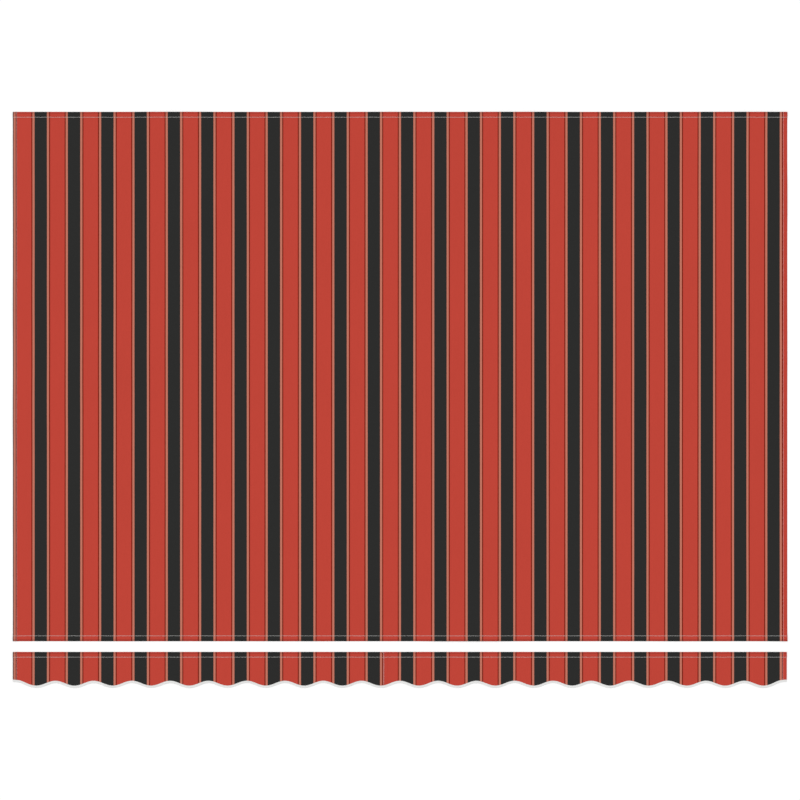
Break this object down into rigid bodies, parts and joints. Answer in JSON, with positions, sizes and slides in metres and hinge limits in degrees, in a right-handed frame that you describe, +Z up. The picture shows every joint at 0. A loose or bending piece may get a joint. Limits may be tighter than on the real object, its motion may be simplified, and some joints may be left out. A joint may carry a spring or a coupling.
{
  "type": "awning cover cloth with scalloped valance",
  "caption": "Flat-laid striped awning cover cloth with tunnel hems front and rear, and beside its front edge a separate narrow valance with a scalloped, tape-bound lower edge",
  "frame": {"origin": "On the ground under the middle of the whole layout, cover and valance together", "axes": "+Z up from the ground the cloths lie on; +X along the awning's width, to the right seen from the front; +Y towards the cover's rear edge, which hangs at the wall, so the stripes run along Y and the valance lies at -Y"},
  "size_m": [4.3928, 3.2673, 0.0067],
  "materials": {
    "striped_cloth": "woven and dyed, coated and matt, with red and black bands parted by tan and brown lines",
    "binding_tape": "pale grey-white woven tape, matt",
    "sewing_thread": "white sewing thread"
  },
  "bodies": {
    "root": {"cover_cloth": "striped_cloth", "cover_rear_hem_thread": "sewing_thread", "cover_front_hem_thread": "sewing_thread", "cover_left_side_thread": "sewing_thread", "cover_right_side_thread": "sewing_thread", "valance_left_cloth": "striped_cloth", "valance_right_cloth": "striped_cloth", "valance_join_thread": "sewing_thread", "valance_top_hem_thread": "sewing_thread", "valance_left_side_thread": "sewing_thread", "valance_right_side_thread": "sewing_thread", "valance_binding": "binding_tape", "valance_binding_thread": "sewing_thread"}
  },
  "joints": []
}
